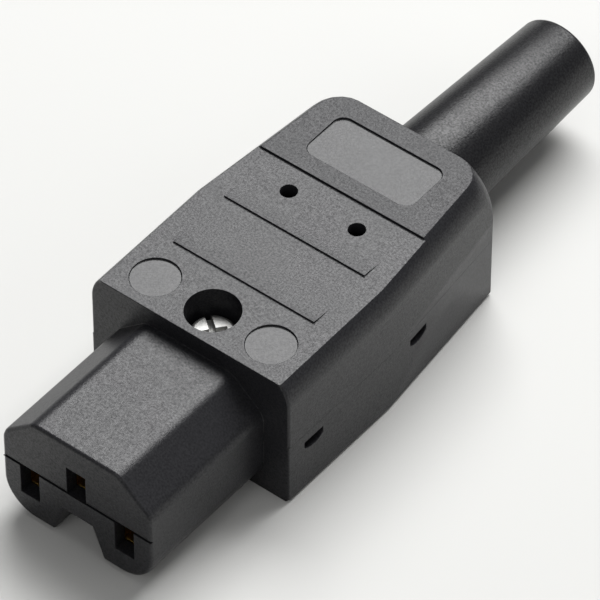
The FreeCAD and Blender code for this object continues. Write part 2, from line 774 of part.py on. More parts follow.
TERMINALS = (
    ("line_terminal", "-slot_spacing / 2", "line_base + strip_thickness"),
    ("neutral_terminal", "slot_spacing / 2", "line_base + strip_thickness"),
    ("earth_terminal", "0", "earth_base + strip_thickness"),
)


def build_terminals():
    """Brass pillar blocks with a wire bore along the cable and a threaded hole from the top."""
    blocks = []
    middle = "terminal_front + terminal_length / 2"
    for label, across, base in TERMINALS:
        body = new_body(label)
        block = outline(body, "block", "XY", base, rectangle(
            f"{across} - terminal_width / 2", f"{across} + terminal_width / 2",
            "terminal_front", "terminal_rear"))
        extrude(body, "Pad", block, "terminal_height")
        bore = circles(body, "bore", "XZ", middle, [(across, f"{base} + terminal_height / 2")],
                       "wire_bore_diameter")
        extrude(body, "Pocket", bore, "2 * terminal_length", both=True)
        hole = circles(body, "hole", "XY", f"{base} + terminal_height", [(across, middle)],
                       "terminal_screw_diameter + 2 * fit_clearance")
        extrude(body, "Pocket", hole, "terminal_height / 2")
        blocks.append(body)
    return blocks


def slotted_screw(name, across, along, seat, head, head_height, shank, reach):
    """Cheese head screw with a slot, its head on the seat and its shank going down."""
    crown = doc.addObject("Part::Cylinder", f"{name}_head")
    bind(crown, "Radius", f"{head} / 2")
    bind(crown, "Height", head_height)
    stem = doc.addObject("Part::Cylinder", f"{name}_shank")
    bind(stem, "Radius", f"{shank} / 2")
    bind(stem, "Height", reach)
    bind(stem, "Placement.Base.z", f"-({reach})")
    blank = doc.addObject("Part::Fuse", f"{name}_blank")
    blank.Base = crown
    blank.Tool = stem
    slot = doc.addObject("Part::Box", f"{name}_slot")
    bind(slot, "Length", f"2 * {head}")
    bind(slot, "Width", "screw_slot_width")
    bind(slot, "Height", "2 * screw_slot_depth")
    bind(slot, "Placement.Base.x", f"-({head})")
    bind(slot, "Placement.Base.y", "-screw_slot_width / 2")
    bind(slot, "Placement.Base.z", f"{head_height} - screw_slot_depth")
    screw = doc.addObject("Part::Cut", name)
    screw.Base = blank
    screw.Tool = slot
    for axis, formula in zip("xyz", (across, along, seat)):
        bind(screw, f"Placement.Base.{axis}", formula)
    return screw


def group(label, solids):
    """Like solids that share one file."""
    gathered = doc.addObject("Part::Compound", label)
    gathered.Label = label
    gathered.Links = solids
    return gathered


def build_small_screws():
    """One screw for each terminal and two for the cable clamp."""
    terminal = [
        slotted_screw(f"{label}_screw", across, "terminal_front + terminal_length / 2",
                      f"{base} + terminal_height", "terminal_head_diameter", "terminal_head_height",
                      "terminal_screw_diameter", "terminal_height / 2")
        for label, across, base in TERMINALS
    ]
    clamp = [
        slotted_screw(f"clamp_screw_{side}", across, "clamp_y", "body_split_height + clamp_ear_height",
                      "clamp_head_diameter", "clamp_head_height", "clamp_screw_diameter",
                      "clamp_ear_height + clamp_screw_reach")
        for side, across in (("left", "-clamp_screw_spacing / 2"), ("right", "clamp_screw_spacing / 2"))
    ]
    return [group("terminal_screws", terminal), group("clamp_screws", clamp)]


def build_cable_clamp():
    """Bar that presses the cable into the saddle, with an arch between two screwed ears."""
    body = new_body("cable_clamp")
    arch = "cable_bore_diameter / 2 + clamp_arch_wall"
    ear_top = "body_split_height + clamp_ear_height"
    arch_top = f"body_split_height + {arch}"
    bar = outline(body, "bar", "XZ", "clamp_y", [
        ("-clamp_half_width", "body_split_height"),
        ("clamp_half_width", "body_split_height"),
        ("clamp_half_width", ear_top),
        (arch, ear_top),
        ("clamp_arch_flat / 2", arch_top),
        ("-clamp_arch_flat / 2", arch_top),
        (f"-({arch})", ear_top),
        ("-clamp_half_width", ear_top),
    ])
    extrude(body, "Pad", bar, "clamp_length", both=True)
    trough = circles(body, "trough", "XZ", "clamp_y", [("0", "body_split_height")], "cable_bore_diameter")
    extrude(body, "Pocket", trough, "2 * clamp_length", both=True)
    holes = circles(body, "holes", "XY", ear_top,
                    [("-clamp_screw_spacing / 2", "clamp_y"), ("clamp_screw_spacing / 2", "clamp_y")],
                    "clamp_hole_diameter")
    extrude(body, "Pocket", holes, "2 * clamp_ear_height")
    return body


def check(parts):
    """Stop where a feature failed or a sub-part has no sound shape."""
    failed = [item.Name for item in doc.Objects if {"Invalid", "Error"} & set(item.State)]
    failed += [part.Label for part in parts if part.Shape.isNull() or not part.Shape.isValid()]
    if failed:
        raise RuntimeError(f"failed: {', '.join(failed)}")


def main():
    """Build every sub-part, check it and write its file."""
    parts = [
        build_upper_shell(),
        build_lower_shell(),
        build_bend_sleeve(),
        build_cover_screw(),
        build_cover_nut(),
        *build_contacts(),
        *build_terminals(),
        *build_small_screws(),
        build_cable_clamp(),
    ]
    doc.recompute()
    check(parts)
    os.makedirs("parts", exist_ok=True)
    for part in parts:
        part.Shape.exportStep(f"parts/{part.Label}.step")
        print(part.Label, len(part.Shape.Solids), round(part.Shape.Volume, 2))


main()
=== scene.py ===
"""Looks of a rewirable appliance connector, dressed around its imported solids.

Lengths in the classes and finishes are millimetres and angles are degrees. The frame and every mesh are in
metres. A station is a distance along the body from its front.
"""

import logging
import math
from dataclasses import dataclass, replace
from enum import Enum, IntEnum

import bmesh
import bpy
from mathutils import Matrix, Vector


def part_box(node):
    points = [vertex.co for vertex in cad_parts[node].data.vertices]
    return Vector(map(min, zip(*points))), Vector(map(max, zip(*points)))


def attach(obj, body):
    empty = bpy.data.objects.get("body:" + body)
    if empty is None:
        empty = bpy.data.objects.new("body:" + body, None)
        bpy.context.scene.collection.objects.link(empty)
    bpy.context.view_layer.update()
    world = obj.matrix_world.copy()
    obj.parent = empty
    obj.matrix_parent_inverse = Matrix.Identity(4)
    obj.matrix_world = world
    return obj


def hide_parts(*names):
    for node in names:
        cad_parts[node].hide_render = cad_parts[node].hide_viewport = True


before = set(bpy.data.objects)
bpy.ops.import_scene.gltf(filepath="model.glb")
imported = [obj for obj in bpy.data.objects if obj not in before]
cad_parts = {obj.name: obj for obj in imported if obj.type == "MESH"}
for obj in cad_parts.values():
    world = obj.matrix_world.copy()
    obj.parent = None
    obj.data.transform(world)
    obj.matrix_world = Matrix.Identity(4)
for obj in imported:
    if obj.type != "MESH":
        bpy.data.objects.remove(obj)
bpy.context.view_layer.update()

MM = 0.001
# Past the end of every piece, for a box that is open towards a side.
FAR = 1000.0
BODY = "root"
LINES = ("line", "neutral", "earth")

# Blender's Mix node has several sockets of each name, so its colour sockets go by their numbers.
MIX_FIRST = 6
MIX_SECOND = 7
MIX_RESULT = 2

log = logging.getLogger("connector")


class Slot(str, Enum):
    """Names of material slots."""

    SHELL = "shell_plastic"
    SLEEVE = "sleeve_rubber"
    CLAMP = "clamp_plastic"
    SCREW = "screw_steel"
    CONTACT = "contact_brass"
    TERMINAL = "terminal_brass"


class Texture(IntEnum):
    """Surfaces that the mould gives the shells, by the number of the mesh's material."""

    GRAINED = 0
    POLISHED = 1
    DULL = 2


class Socket(str, Enum):
    """Blender's types for the inputs of the node trees."""

    GEOMETRY = "NodeSocketGeometry"
    NUMBER = "NodeSocketFloat"
    COUNT = "NodeSocketInt"
    MATERIAL = "NodeSocketMaterial"


@dataclass(frozen=True)
class Box:
    """Box around a CAD node."""

    low: Vector
    high: Vector

    def middle(self) -> Vector:
        """Middle of the box."""
        return (self.low + self.high) / 2


def box_of(node: str) -> Box:
    """Box around a CAD node at rest, in millimetres."""
    low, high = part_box(node)
    return Box(low / MM, high / MM)


def linear(code: str) -> tuple[float, float, float, float]:
    """Turn an sRGB hex code into a linear colour.

    Args:
        code: Colour in the form "#1c1c1e".

    Returns:
        Red, green and blue in linear light, and full alpha.
    """
    shares = [int(code[i:i + 2], 16) / 255 for i in (1, 3, 5)]
    bent = [c / 12.92 if c <= 0.04045 else ((c + 0.055) / 1.055) ** 2.4 for c in shares]
    return (bent[0], bent[1], bent[2], 1.0)


def cells_per_metre(size: float) -> float:
    """Scale of a noise whose spots are a size in millimetres across."""
    return 1 / (size * MM)


def add_node(
    tree: bpy.types.NodeTree, kind: str, inputs: dict[str | int, object] | None = None, **settings: object,
) -> bpy.types.Node:
    """Add a node with its settings, its input values and its links.

    Args:
        tree: Tree that takes the node.
        kind: Blender's name of the node's type.
        inputs: A value, or the output to link, by the input's name or number.
        settings: Properties of the node itself.

    Returns:
        The new node.
    """
    node = tree.nodes.new(kind)
    for name, setting in settings.items():
        setattr(node, name, setting)
    for key, given in (inputs or {}).items():
        if isinstance(given, bpy.types.NodeSocket):
            tree.links.new(given, node.inputs[key])
        else:
            node.inputs[key].default_value = given
    return node


def new_material(name: str) -> tuple[bpy.types.Material, bpy.types.Node]:
    """Make a material that its finish then dresses.

    Args:
        name: Common name of the real stuff and how its surface was made.

    Returns:
        The material and its shader.
    """
    made = bpy.data.materials.new(name)
    made.use_nodes = True
    return made, made.node_tree.nodes["Principled BSDF"]


def new_tree(name: str, inputs: dict[str, Socket]) -> bpy.types.NodeTree:
    """Start a Geometry Nodes tree that puts out a mesh.

    Args:
        name: Name of the tree.
        inputs: Type of each input, by the input's name.

    Returns:
        The tree, without nodes.
    """
    tree = bpy.data.node_groups.new(name, "GeometryNodeTree")
    for label, kind in inputs.items():
        tree.interface.new_socket(label, in_out="INPUT", socket_type=kind.value)
    tree.interface.new_socket("Mesh", in_out="OUTPUT", socket_type=Socket.GEOMETRY.value)
    return tree


def end_tree(
    tree: bpy.types.NodeTree, geometry: bpy.types.NodeSocket, material: bpy.types.NodeSocket,
) -> None:
    """End a tree as the export needs it, without instances and with the material set.

    Args:
        tree: Tree to end.
        geometry: Output that holds the finished shape.
        material: Output that holds the material.
    """
    real = add_node(tree, "GeometryNodeRealizeInstances", {"Geometry": geometry})
    painted = add_node(tree, "GeometryNodeSetMaterial", {
        "Geometry": real.outputs["Geometry"], "Material": material})
    add_node(tree, "NodeGroupOutput", {"Mesh": painted.outputs["Geometry"]})


def set_inputs(
    modifier: bpy.types.NodesModifier, tree: bpy.types.NodeTree, values: dict[str, object],
) -> None:
    """Give a nodes modifier its tree and the values of the tree's inputs.

    Args:
        modifier: Modifier of an object that hasn't been evaluated yet.
        tree: Tree that it runs.
        values: Value of each input, by the input's name.
    """
    modifier.node_group = tree
    for socket in tree.interface.items_tree:
        if socket.name in values:
            modifier[socket.identifier] = values[socket.name]


def link_to_scene(piece: bpy.types.Object) -> bpy.types.Object:
    """Put an object into the scene and hand it back."""
    bpy.context.scene.collection.objects.link(piece)
    return piece


def plain_mesh(piece: bpy.types.Object) -> bpy.types.Object:
    """Swap an object for one of the same name that has the result of its modifiers as its mesh.

    Args:
        piece: Object with modifiers, which is removed.

    Returns:
        The object without modifiers.
    """
    graph = bpy.context.evaluated_depsgraph_get()
    mesh = bpy.data.meshes.new_from_object(
        piece.evaluated_get(graph), preserve_all_data_layers=True, depsgraph=graph)
    name = piece.name
    bpy.data.objects.remove(piece)
    return link_to_scene(bpy.data.objects.new(name, mesh))


def hand_over(piece: bpy.types.Object, slot: Slot, *nodes: str) -> None:
    """Let a finished piece move with the body and stand for its nodes.

    Args:
        piece: Finished object.
        slot: Not used.
        nodes: CAD nodes that it stands for, if any.
    """
    if nodes:
        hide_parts(*nodes)
    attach(piece, BODY)
    log.info("built %s, %d faces", piece.name, len(piece.data.polygons))


@dataclass(frozen=True)
class MouldedPlastic:
    """Plastic from a textured mould: a grain in its surface, and specks in its tone and gloss.

    The specks are drawn coarser than the real pits of the mould, so that they show in the render.
    """

    name: str
    tone: str
    light_tone: str
    roughness: float
    gloss: float
    grain_size: float
    grain_depth: float
    speck_range: float
    speck_size: float = 0.26
    speck_limits: tuple[float, float] = (0.3, 0.7)
    fine_detail: float = 2.0
    cloud_size: float = 4.0
    cloud_range: float = 0.03
    cloud_detail: float = 3.0

    def material(self) -> bpy.types.Material:
        """Build the material: grain as bump, specks in tone and gloss, faint clouds in the roughness.

        Returns:
            The material, whose patterns lie on Object coordinates.
        """
        made, shader = new_material(self.name)
        tree = made.node_tree
        place = add_node(tree, "ShaderNodeTexCoord").outputs["Object"]
        clouds = add_node(tree, "ShaderNodeTexNoise", {
            "Vector": place, "Scale": cells_per_metre(self.cloud_size), "Detail": self.cloud_detail})
        grain = add_node(tree, "ShaderNodeTexNoise", {
            "Vector": place, "Scale": cells_per_metre(self.grain_size), "Detail": self.fine_detail})
        specks = add_node(tree, "ShaderNodeTexNoise", {
            "Vector": place, "Scale": cells_per_metre(self.speck_size), "Detail": self.fine_detail})
        tones = add_node(tree, "ShaderNodeMix", {
            "Factor": specks.outputs["Fac"],
            MIX_FIRST: linear(self.tone), MIX_SECOND: linear(self.light_tone)}, data_type="RGBA")
        tree.links.new(tones.outputs[MIX_RESULT], shader.inputs["Base Color"])
        shine = add_node(tree, "ShaderNodeMapRange", {
            "Value": specks.outputs["Fac"],
            "From Min": self.speck_limits[0], "From Max": self.speck_limits[1],
            "To Min": self.gloss * (1 - self.speck_range), "To Max": self.gloss * (1 + self.speck_range)})
        tree.links.new(shine.outputs["Result"], shader.inputs["Specular IOR Level"])
        haze = add_node(tree, "ShaderNodeMapRange", {
            "Value": clouds.outputs["Fac"],
            "To Min": self.roughness - self.cloud_range, "To Max": self.roughness + self.cloud_range})
        tree.links.new(haze.outputs["Result"], shader.inputs["Roughness"])
        bump = add_node(tree, "ShaderNodeBump", {
            "Height": grain.outputs["Fac"], "Distance": self.grain_depth * MM})
        tree.links.new(bump.outputs["Normal"], shader.inputs["Normal"])
        return made


@dataclass(frozen=True)
class WorkedMetal:
    """Bare or plated metal whose faint streaks follow the way it was rolled or drawn."""

    name: str
    tone: str
    dull_tone: str
    roughness: float
    streak_width: float
    streak_length: float
    streak_depth: float
    streak_detail: float = 3.0
    haze_range: float = 0.08

    def material(self) -> bpy.types.Material:
        """Build the material, with streaks along Y in its tone, gloss and bump.

        Returns:
            The material, whose streaks lie on Object coordinates.
        """
        made, shader = new_material(self.name)
        tree = made.node_tree
        shader.inputs["Metallic"].default_value = 1.0
        place = add_node(tree, "ShaderNodeTexCoord").outputs["Object"]
        across = cells_per_metre(self.streak_width)
        along = cells_per_metre(self.streak_length)
        drawn = add_node(tree, "ShaderNodeMapping", {"Vector": place, "Scale": (across, along, across)})
        streaks = add_node(tree, "ShaderNodeTexNoise", {
            "Vector": drawn.outputs["Vector"], "Scale": 1.0, "Detail": self.streak_detail})
        tones = add_node(tree, "ShaderNodeMix", {
            "Factor": streaks.outputs["Fac"],
            MIX_FIRST: linear(self.dull_tone), MIX_SECOND: linear(self.tone)}, data_type="RGBA")
        tree.links.new(tones.outputs[MIX_RESULT], shader.inputs["Base Color"])
        haze = add_node(tree, "ShaderNodeMapRange", {
            "Value": streaks.outputs["Fac"],
            "To Min": self.roughness + self.haze_range, "To Max": self.roughness - self.haze_range})
        tree.links.new(haze.outputs["Result"], shader.inputs["Roughness"])
        bump = add_node(tree, "ShaderNodeBump", {
            "Height": streaks.outputs["Fac"], "Distance": self.streak_depth * MM})
        tree.links.new(bump.outputs["Normal"], shader.inputs["Normal"])
        return made


@dataclass(frozen=True)
class MattPaint:
    """Even matt paint, for what isn't part of the object."""

    name: str
    tone: str
    roughness: float
    gloss: float

    def material(self) -> bpy.types.Material:
        """Build the material.

        Returns:
            The material, which has one tone all over.
        """
        made, shader = new_material(self.name)
        shader.inputs["Base Color"].default_value = linear(self.tone)
        shader.inputs["Roughness"].default_value = self.roughness
        shader.inputs["Specular IOR Level"].default_value = self.gloss
        return made


# Black polyamide from a spark-eroded mould: its even grain blurs each reflection into fine pale specks.
SPARK_ERODED = MouldedPlastic(
    "spark_eroded_polyamide", "#1c1c1e", "#262629", roughness=0.33, gloss=0.28,
    grain_size=0.14, grain_depth=0.025, speck_range=0.38)

# The same polyamide where it throws back less light: a shade darker than the rest of the top.
DULL_ERODED = replace(SPARK_ERODED, name="dull_eroded_polyamide", gloss=0.22)

# Polyamide moulded against polished steel: flat and even, so it shines paler than the grain around it.
POLISHED = MouldedPlastic(
    "polished_polyamide", "#18181a", "#1e1e20", roughness=0.26, gloss=0.28,
    grain_size=0.5, grain_depth=0.002, speck_range=0.15)

# Polyamide from a plain mould: dark grey, with a smooth surface and a broad soft shine.
PLAIN_MOULDED = MouldedPlastic(
    "moulded_clamp_polyamide", "#2a2a2c", "#333335", roughness=0.4, gloss=0.45,
    grain_size=0.4, grain_depth=0.01, speck_range=0.2)

# Soft PVC: a deeper black, with a coarser grain and a satin stripe of light along the sleeve.
SOFT_PVC = MouldedPlastic(
    "soft_pvc", "#131315", "#1c1c1e", roughness=0.33, gloss=0.28,
    grain_size=0.2, grain_depth=0.025, speck_range=0.45)

# Nickel on steel: pale grey, with a haze that lets no sharp reflection through. Its streaks are as wide as
# they are long, so they show as faint spots.
PLATED_STEEL = WorkedMetal(
    "nickel_plated_steel", "#c6c6c4", "#b2b2b0", roughness=0.5,
    streak_width=0.25, streak_length=0.25, streak_depth=0.004)

# Rolled brass strip: warm yellow, with fine bright streaks along the strip.
ROLLED_BRASS = WorkedMetal(
    "rolled_brass_strip", "#d9b562", "#c19a49", roughness=0.3,
    streak_width=0.08, streak_length=3.0, streak_depth=0.003)

# Drawn brass bar: a little darker and duller than the strip, with shorter streaks.
DRAWN_BRASS = WorkedMetal(
    "drawn_brass_bar", "#d2ab57", "#b98f41", roughness=0.34,
    streak_width=0.1, streak_length=2.0, streak_depth=0.004)

# Painted board: pale and dull, so that it shows soft shadows and no reflection.
FLOOR_PAINT = MattPaint("pale_floor", "#c6c6c4", roughness=0.8, gloss=0.1)

TEXTURE_FINISHES = {Texture.GRAINED: SPARK_ERODED, Texture.POLISHED: POLISHED, Texture.DULL: DULL_ERODED}


@dataclass(frozen=True)
class EdgeRule:
    """Radius of the sharp edges that lie in a box."""

    radius: float
    low: tuple[float, float, float] = (-FAR, -FAR, -FAR)
    high: tuple[float, float, float] = (FAR, FAR, FAR)
    slack: float = 0.01

    def covers(self, edge: bmesh.types.BMEdge) -> bool:
        """Say whether both ends of an edge are in the box.

        Args:
            edge: Edge of a mesh in metres.

        Returns:
            True where they are, give or take the slack.
        """
        return all(
            self.low[i] - self.slack <= vertex.co[i] / MM <= self.high[i] + self.slack
            for vertex in edge.verts for i in range(3)
        )


@dataclass
class SoftenedPiece:
    """Copy of a node whose sharp edges are rounded a little, as they leave the mould or the press."""

    node: str
    slot: Slot
    materials: tuple[bpy.types.Material, ...]
    rules: tuple[EdgeRule, ...]
    steps: int = 2
    sharp_angle: float = 24.0
    flat_angle: float = 0.5
    merge_distance: float = 0.0005

    def reshape(self, mesh: bmesh.types.BMesh) -> None:
        """Change the copied mesh before its edges are rounded. A plain piece is left as it is."""

    def is_sharp(self, edge: bmesh.types.BMEdge) -> bool:
        """True where the faces on either side of an edge meet at a clear angle."""
        return len(edge.link_faces) == 2 and edge.calc_face_angle() > math.radians(self.sharp_angle)

    def radius(self, edge: bmesh.types.BMEdge) -> float:
        """Radius of a sharp edge: the last rule that covers it holds."""
        return next((rule.radius for rule in reversed(self.rules) if rule.covers(edge)), 0.0)

    def widest(self) -> float:
        """Widest radius of the rules."""
        return max(rule.radius for rule in self.rules)

    def copied_mesh(self) -> bpy.types.Mesh:
        """Copy the node's mesh and merge its loose triangles.

        Returns:
            The mesh, with each edge's share of the widest radius stored on it.
        """
        work = bmesh.new()
        work.from_mesh(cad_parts[self.node].data)
        bmesh.ops.remove_doubles(work, verts=work.verts[:], dist=self.merge_distance * MM)
        bmesh.ops.dissolve_limit(
            work, angle_limit=math.radians(self.flat_angle), verts=work.verts[:], edges=work.edges[:])
        self.reshape(work)
        work.normal_update()
        widest = self.widest()
        weight = work.edges.layers.float.new("bevel_weight_edge")
        for edge in filter(self.is_sharp, work.edges):
            edge[weight] = self.radius(edge) / widest
            edge.smooth = edge[weight] > 0.0
        for face in work.faces:
            face.smooth = True
        mesh = bpy.data.meshes.new(f"soft_{self.node}")
        work.to_mesh(mesh)
        work.free()
        return mesh

    def build(self) -> bpy.types.Object:
        """Build the piece and let it stand for its node.

        Returns:
            The finished object.
        """
        mesh = self.copied_mesh()
        for material in self.materials:
            mesh.materials.append(material)
        piece = link_to_scene(bpy.data.objects.new(f"soft_{self.node}", mesh))
        bevel = piece.modifiers.new("edges", "BEVEL")
        bevel.limit_method = "WEIGHT"
        bevel.width = self.widest() * MM
        bevel.segments = self.steps
        bevel.use_clamp_overlap = False
        normals = piece.modifiers.new("normals", "WEIGHTED_NORMAL")
        normals.keep_sharp = True
        piece = plain_mesh(piece)
        hand_over(piece, self.slot, self.node)
        return piece


@dataclass(kw_only=True)
class UpperShell(SoftenedPiece):
    """Upper half of the housing: its raised panel is duller, and its two discs and its field are polished."""

    body_front: float
    disc_station: float = 4.4
    disc_offset: float = 8.55
    disc_radius: float = 3.05
    panel_station: float = 28.1
    field_stations: tuple[float, float] = (30.6, 38.1)
    field_half_width: float = 7.9
    lowest_floor: float = 18.5
    sloped_normal: float = 0.999
    level_normal: float = 0.99999

    def texture(self, face: bmesh.types.BMFace) -> Texture:
        """Choose the texture of a face: polished floors are level, and the top of the panel slopes a little.

        The two limits for the upward part of the normal tell the level faces from the sloped ones.

        Args:
            face: Face of the copied mesh.

        Returns:
            The texture that the mould gives it.
        """
        middle = face.calc_center_median() / MM
        if middle.z < self.lowest_floor or face.normal.z < self.sloped_normal:
            return Texture.GRAINED
        aside, station = abs(middle.x), middle.y - self.body_front
        in_disc = math.hypot(aside - self.disc_offset, station - self.disc_station) < self.disc_radius
        in_field = aside < self.field_half_width and self.field_stations[0] < station < self.field_stations[1]
        if face.normal.z > self.level_normal and (in_disc or in_field):
            return Texture.POLISHED
        return Texture.DULL if station > self.panel_station else Texture.GRAINED

    def reshape(self, mesh: bmesh.types.BMesh) -> None:
        """Give every face its texture."""
        for face in mesh.faces:
            face.material_index = self.texture(face)


@dataclass(kw_only=True)
class LowerShell(SoftenedPiece):
    """Lower half of the housing: the sills of its side windows bow down in the middle."""

    body_front: float
    window_stations: tuple[float, ...] = (2.9, 23.2)
    window_length: float = 3.4
    sill: float = 6.95
    bow: float = 0.6
    cuts: int = 7
    inside: float = 11.0
    slack: float = 0.05

    def on_sill(self, vertex: bmesh.types.BMVert) -> bool:
        """True where a vertex of a side wall is as high as the sills."""
        return abs(vertex.co.x) > self.inside * MM and abs(vertex.co.z - self.sill * MM) < self.slack * MM

    def is_sill(self, edge: bmesh.types.BMEdge) -> bool:
        """True where an edge runs along the whole of a sill."""
        whole = abs(edge.calc_length() / MM - self.window_length) < self.slack
        return whole and all(map(self.on_sill, edge.verts))

    def reshape(self, mesh: bmesh.types.BMesh) -> None:
        """Split the long edges of each sill and lower them along a parabola.

        Args:
            mesh: Copied mesh, whose sills are straight.
        """
        sills = list(filter(self.is_sill, mesh.edges))
        bmesh.ops.subdivide_edges(mesh, edges=sills, cuts=self.cuts, use_grid_fill=True)
        for vertex in filter(self.on_sill, mesh.verts):
            station = vertex.co.y / MM - self.body_front
            window = max(place for place in self.window_stations if place < station + self.slack)
            share = (station - window) / self.window_length
            # The product of the shares is a quarter in the middle of the sill, where the bow is deepest.
            vertex.co.z -= 4 * self.bow * share * (1 - share) * MM


@dataclass
class Housing:
    """The two half shells, which meet along a stepped parting line."""

    nose_length: float = 20.3
    nose_split: float = 8.2
    corner_aside: float = 13.0
    slots_aside: float = 8.6
    slots_low: float = 3.0
    slots_high: float = 12.7
    small_edge: float = 0.07
    overhang: float = 0.55
    parting: float = 0.015
    nose_rim: float = 0.45
    upright_edge: float = 0.35
    top_margin: float = 0.02

    def body_front(self) -> float:
        """Place of the body's front along Y."""
        return box_of("lower_shell").low.y + self.nose_length

    def rules(self, front_parting: float) -> tuple[EdgeRule, ...]:
        """List the radii of a shell's edges. The rear face keeps sharp edges up to just under the top.

        Args:
            front_parting: Radius along the parting of the nose's front, in which the two shells differ.

        Returns:
            The rules, each of which holds over those before it.
        """
        lower, upper, root = box_of("lower_shell"), box_of("upper_shell"), self.body_front()
        front, rear, body_split = lower.low.y, lower.high.y, lower.high.z
        slots_low = (-self.slots_aside, front, self.slots_low)
        slots_high = (self.slots_aside, front, self.slots_high)
        return (
            EdgeRule(self.small_edge),
            EdgeRule(self.nose_rim, (-FAR, front, -FAR), (FAR, front, FAR)),
            EdgeRule(self.small_edge, slots_low, slots_high),
            EdgeRule(self.upright_edge, (-FAR, root, -FAR), (-self.corner_aside, root, FAR)),
            EdgeRule(self.upright_edge, (self.corner_aside, root, -FAR), (FAR, root, FAR)),
            EdgeRule(0.0, (-FAR, rear, -FAR), (FAR, rear, upper.high.z - self.top_margin)),
            EdgeRule(self.parting, (-FAR, front, self.nose_split), (FAR, root, self.nose_split)),
            EdgeRule(front_parting, (-FAR, front, self.nose_split), (FAR, front, self.nose_split)),
            EdgeRule(self.parting, (-FAR, root, body_split), (FAR, rear, body_split)),
        )

    def build(self) -> None:
        """Build both shells."""
        front = self.body_front()
        textures = tuple(TEXTURE_FINISHES[texture].material() for texture in Texture)
        grain = (textures[Texture.GRAINED],)
        UpperShell("upper_shell", Slot.SHELL, textures, self.rules(self.overhang), body_front=front).build()
        LowerShell("lower_shell", Slot.SHELL, grain, self.rules(self.parting), body_front=front).build()


@dataclass
class BendSleeve:
    """Soft tapered sleeve that keeps the cable from kinking, turned from its profile.

    The profile is swept round a spindle so thin that it keeps its own radii.
    """

    node: str = "bend_sleeve"
    collar_length: float = 2.0
    collar_radius: float = 6.6
    neck_radius: float = 5.3
    tip_radius: float = 5.675
    bore_radius: float = 3.8
    spindle_radius: float = 0.001
    edge_radius: float = 0.5
    edge_steps: int = 4
    sides: int = 96

    def profile(self) -> bpy.types.Object:
        """Draw the closed profile of the sleeve from its collar, which the shells hold, to its tip.

        Returns:
            A curve whose X is the radius and whose Y is the place along the axis.
        """
        box = box_of(self.node)
        collar_front, tip, root_radius = box.low.y, box.high.y, box.high.x
        collar_rear = collar_front + self.collar_length
        root = box_of("upper_shell").high.y
        corners = (
            (self.bore_radius, collar_front),
            (self.collar_radius, collar_front),
            (self.collar_radius, collar_rear),
            (self.neck_radius, collar_rear),
            (self.neck_radius, root),
            (root_radius, root),
            (self.tip_radius, tip),
            (self.bore_radius, tip),
        )
        curve = bpy.data.curves.new(f"soft_{self.node}", "CURVE")
        curve.dimensions = "3D"
        line = curve.splines.new("POLY")
        line.points.add(len(corners) - 1)
        for point, (radius, along) in zip(line.points, corners):
            point.co = (radius * MM, along * MM, 0.0, 1.0)
        line.use_cyclic_u = True
        return link_to_scene(bpy.data.objects.new(f"soft_{self.node}", curve))

    def lathe(self) -> bpy.types.NodeTree:
        """Build the tree that rounds the corners of a profile, turns it and lays its axis along Y.

        Returns:
            The tree.
        """
        tree = new_tree("lathe", {
            "Profile": Socket.GEOMETRY, "Edge Radius": Socket.NUMBER, "Edge Steps": Socket.COUNT,
            "Sides": Socket.COUNT, "Spindle Radius": Socket.NUMBER, "Axis Height": Socket.NUMBER,
            "Material": Socket.MATERIAL})
        given = add_node(tree, "NodeGroupInput").outputs
        rounded = add_node(tree, "GeometryNodeFilletCurve", {
            "Curve": given["Profile"], "Count": given["Edge Steps"], "Radius": given["Edge Radius"],
            "Limit Radius": True}, mode="POLY")
        spindle = add_node(tree, "GeometryNodeCurvePrimitiveCircle", {
            "Resolution": given["Sides"], "Radius": given["Spindle Radius"]})
        turned = add_node(tree, "GeometryNodeCurveToMesh", {
            "Curve": spindle.outputs["Curve"], "Profile Curve": rounded.outputs["Curve"]})
        centre = add_node(tree, "ShaderNodeCombineXYZ", {"Z": given["Axis Height"]})
        laid = add_node(tree, "GeometryNodeTransform", {
            "Geometry": turned.outputs["Mesh"], "Translation": centre.outputs["Vector"],
            "Rotation": (math.radians(90), 0.0, 0.0)})
        smooth = add_node(tree, "GeometryNodeSetShadeSmooth", {"Geometry": laid.outputs["Geometry"]})
        end_tree(tree, smooth.outputs["Geometry"], given["Material"])
        return tree

    def build(self) -> None:
        """Turn the sleeve and let it stand for its node."""
        piece = self.profile()
        set_inputs(piece.modifiers.new("turning", "NODES"), self.lathe(), {
            "Edge Radius": self.edge_radius * MM, "Edge Steps": self.edge_steps, "Sides": self.sides,
            "Spindle Radius": self.spindle_radius * MM, "Axis Height": box_of(self.node).middle().z * MM,
            "Material": SOFT_PVC.material()})
        hand_over(plain_mesh(piece), Slot.SLEEVE, self.node)


@dataclass(frozen=True)
class Thread:
    """Thread of a screw, with the radius of its crest."""

    crest: float
    pitch: float
    depth: float


